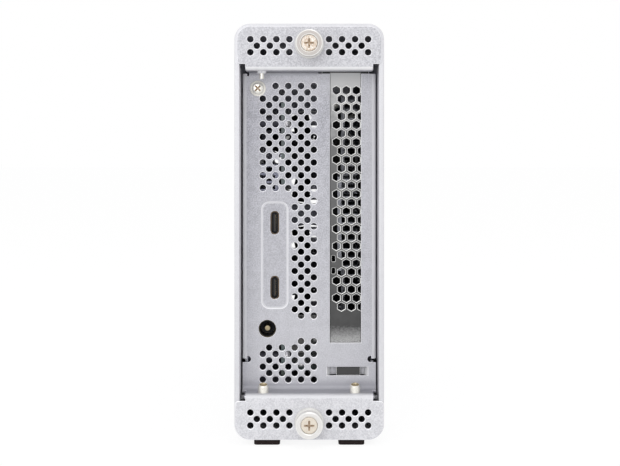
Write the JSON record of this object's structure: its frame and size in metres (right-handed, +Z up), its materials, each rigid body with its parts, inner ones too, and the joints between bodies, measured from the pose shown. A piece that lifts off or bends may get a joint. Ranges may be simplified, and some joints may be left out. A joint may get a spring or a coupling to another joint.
{
  "type": "external ssd raid enclosure",
  "caption": "Tall narrow drive enclosure: extruded aluminium shell with a slide-out steel tray, perforated rear plates held by thumbscrews, recessed ports, a card slot and fans.",
  "frame": {"origin": "middle of the footprint, thumbscrews included, on the surface that the feet stand on", "axes": "+Y from the connector end to the fan end, +X across the width, to the right when the connectors are looked at, +Z up"},
  "size_m": [0.0576, 0.2234, 0.162],
  "materials": {
    "shell_aluminium": "clear anodised, fine satin",
    "front_aluminium": "clear anodised, fine satin",
    "foot_rubber": "matt",
    "frame_plastic": "matt moulded",
    "light_plastic": "clear diffusing",
    "zinc_sheet": "galvanised sheet, fine spangle",
    "bracket_steel": "bright zinc",
    "screw_steel": "nickel plated",
    "block_aluminium": "plain milled",
    "knob_steel": "nickel plated, satin",
    "core_steel": "warm nickel plated",
    "board_green": "solder mask over laminate",
    "chip_black": "moulded package",
    "socket_black": "moulded connector",
    "link_plastic": "moulded connector",
    "sink_aluminium": "extruded",
    "pad_rubber": "soft heat pad",
    "post_brass": "turned",
    "port_steel": "dark nickel",
    "jack_plastic": "moulded",
    "can_aluminium": "drawn can",
    "coil_ferrite": "ferrite",
    "fan_plastic": "moulded"
  },
  "bodies": {
    "housing": {"outer_shell": "shell_aluminium", "rubber_feet": "foot_rubber", "front_panel": "front_aluminium", "front_frame": "frame_plastic", "front_screws": "screw_steel", "power_light": "light_plastic", "upper_screw_block": "block_aluminium", "lower_screw_block": "block_aluminium"},
    "tray": {"chassis_tray": "zinc_sheet", "rear_panel": "zinc_sheet", "top_bracket": "zinc_sheet", "roof_rivets": "block_aluminium", "panel_screw": "screw_steel", "floor_screws": "screw_steel", "card_clamp": "zinc_sheet", "clamp_screw": "screw_steel", "slot_bracket": "bracket_steel", "bracket_screws": "screw_steel", "carrier_card": "board_green", "card_connector": "socket_black", "riser_board": "board_green", "riser_standoffs": "post_brass", "board_link": "link_plastic", "ssd_board_1": "board_green", "ssd_board_2": "board_green", "ssd_board_3": "board_green", "ssd_board_4": "board_green", "ssd_chips": "chip_black", "ssd_sockets": "socket_black", "ssd_standoffs": "post_brass", "ssd_screws": "screw_steel", "thermal_pads": "pad_rubber", "ssd_heatsink": "sink_aluminium", "heatsink_screws": "screw_steel", "switch_chip": "chip_black", "switch_heatsink": "sink_aluminium", "main_board": "board_green", "usb_c_port_upper": "port_steel", "usb_c_port_lower": "port_steel", "dc_jack": "jack_plastic", "controller_chip": "chip_black", "controller_heatsink": "sink_aluminium", "capacitors": "can_aluminium", "inductors": "coil_ferrite", "board_standoffs": "post_brass", "board_screws": "screw_steel", "upper_fan_frame": "fan_plastic", "lower_fan_frame": "fan_plastic", "fan_screws": "screw_steel", "upper_screw_collar": "knob_steel", "lower_screw_collar": "knob_steel"},
    "upper_fan": {"upper_fan_rotor": "fan_plastic"},
    "lower_fan": {"lower_fan_rotor": "fan_plastic"},
    "upper_ring": {"upper_retaining_ring": "screw_steel"},
    "lower_ring": {"lower_retaining_ring": "screw_steel"},
    "upper_thumbscrew": {"upper_thumb_knob": "knob_steel", "upper_thumb_screw": "core_steel"},
    "lower_thumbscrew": {"lower_thumb_knob": "knob_steel", "lower_thumb_screw": "core_steel"}
  },
  "joints": [
    {"name": "tray_slide", "type": "slide", "parent": "housing", "child": "tray", "axis": [0, -1, 0], "range_m": [0, 0.2]},
    {"name": "upper_fan_spin", "type": "hinge", "parent": "tray", "child": "upper_fan", "pos_m": [0, 0.08675, 0.1083], "axis": [0, 1, 0], "continuous": true},
    {"name": "lower_fan_spin", "type": "hinge", "parent": "tray", "child": "lower_fan", "pos_m": [0, 0.08675, 0.051], "axis": [0, 1, 0], "continuous": true},
    {"name": "upper_screw_travel", "type": "slide", "parent": "tray", "child": "upper_ring", "axis": [0, -1, 0], "range_m": [0, 0.0049]},
    {"name": "upper_screw_turn", "type": "hinge", "parent": "upper_ring", "child": "upper_thumbscrew", "pos_m": [0, -0.10325, 0.1541], "axis": [0, -1, 0], "range_deg": [0, 2520]},
    {"name": "lower_screw_travel", "type": "slide", "parent": "tray", "child": "lower_ring", "axis": [0, -1, 0], "range_m": [0, 0.0049]},
    {"name": "lower_screw_turn", "type": "hinge", "parent": "lower_ring", "child": "lower_thumbscrew", "pos_m": [0, -0.10325, 0.0091], "axis": [0, -1, 0], "range_deg": [0, 2520]}
  ],
  "couplings": [
    {"joint": "upper_screw_turn", "follows": "upper_screw_travel", "rad_per_m": 8975.9},
    {"joint": "lower_screw_turn", "follows": "lower_screw_travel", "rad_per_m": 8975.9}
  ]
}
